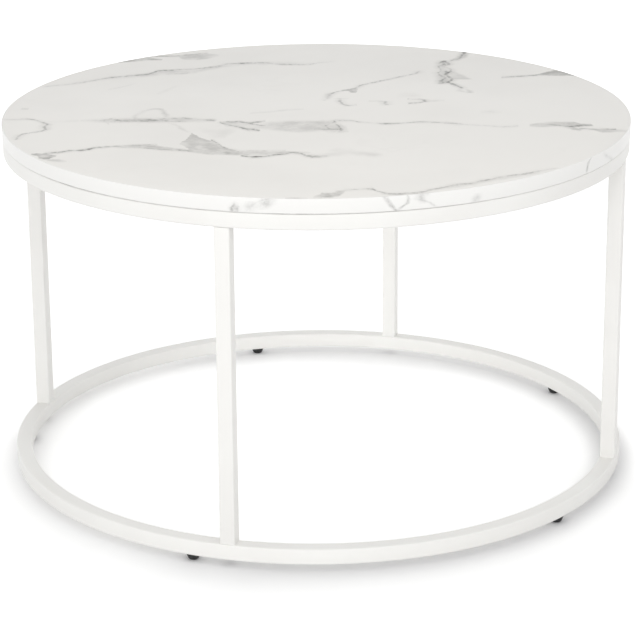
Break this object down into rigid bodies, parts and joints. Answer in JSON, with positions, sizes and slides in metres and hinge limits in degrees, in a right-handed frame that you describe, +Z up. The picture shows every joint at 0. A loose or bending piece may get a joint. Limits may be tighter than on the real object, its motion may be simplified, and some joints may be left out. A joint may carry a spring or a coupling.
{
  "type": "round cocktail table",
  "caption": "Low round table with a marble-look top on an open white frame of two square-tube rings joined by upright legs, standing on small levelling feet.",
  "frame": {"origin": "on the floor under the middle of the top", "axes": "+Z up, -Y to the front leg, +X to the right leg"},
  "size_m": [0.8, 0.8, 0.46],
  "materials": {
    "marble_laminate": "satin printed laminate, white marble with grey veins",
    "marble_edge": "gloss edge band, white marble with grey veins",
    "core_board": "raw fibre board",
    "backing_sheet": "matt white balancing sheet",
    "white_powder_coat": "satin off-white powder coat on steel",
    "zinc_steel": "bright zinc plate",
    "black_plastic": "moulded black plastic"
  },
  "bodies": {
    "table": {"top_core_board": "core_board", "top_marble_laminate": "marble_laminate", "top_edge_band": "marble_edge", "top_backing_sheet": "backing_sheet", "top_threaded_inserts": "zinc_steel", "upper_ring": "white_powder_coat", "lower_ring": "white_powder_coat", "top_fixing_bolts": "zinc_steel", "top_fixing_washers": "zinc_steel", "lower_leg_bolts": "zinc_steel", "lower_leg_washers": "zinc_steel", "upper_leg_bolts": "zinc_steel", "upper_leg_washers": "zinc_steel", "foot_rivet_nuts": "zinc_steel", "top_fixing_tab_1": "white_powder_coat", "top_fixing_tab_2": "white_powder_coat", "top_fixing_tab_3": "white_powder_coat", "top_fixing_tab_4": "white_powder_coat", "leg_front": "white_powder_coat", "leg_front_lower_nut_plate": "white_powder_coat", "leg_front_upper_nut_plate": "white_powder_coat", "leg_right": "white_powder_coat", "leg_right_lower_nut_plate": "white_powder_coat", "leg_right_upper_nut_plate": "white_powder_coat", "leg_rear": "white_powder_coat", "leg_rear_lower_nut_plate": "white_powder_coat", "leg_rear_upper_nut_plate": "white_powder_coat", "leg_left": "white_powder_coat", "leg_left_lower_nut_plate": "white_powder_coat", "leg_left_upper_nut_plate": "white_powder_coat"},
    "foot_1": {"foot_pad_1": "black_plastic", "foot_stud_1": "zinc_steel"},
    "foot_2": {"foot_pad_2": "black_plastic", "foot_stud_2": "zinc_steel"},
    "foot_3": {"foot_pad_3": "black_plastic", "foot_stud_3": "zinc_steel"},
    "foot_4": {"foot_pad_4": "black_plastic", "foot_stud_4": "zinc_steel"},
    "foot_5": {"foot_pad_5": "black_plastic", "foot_stud_5": "zinc_steel"}
  },
  "joints": [
    {"name": "foot_1_screw", "type": "slide", "parent": "table", "child": "foot_1", "axis": [0, 0, -1], "range_m": [0, 0.008]},
    {"name": "foot_2_screw", "type": "slide", "parent": "table", "child": "foot_2", "axis": [0, 0, -1], "range_m": [0, 0.008]},
    {"name": "foot_3_screw", "type": "slide", "parent": "table", "child": "foot_3", "axis": [0, 0, -1], "range_m": [0, 0.008]},
    {"name": "foot_4_screw", "type": "slide", "parent": "table", "child": "foot_4", "axis": [0, 0, -1], "range_m": [0, 0.008]},
    {"name": "foot_5_screw", "type": "slide", "parent": "table", "child": "foot_5", "axis": [0, 0, -1], "range_m": [0, 0.008]}
  ]
}
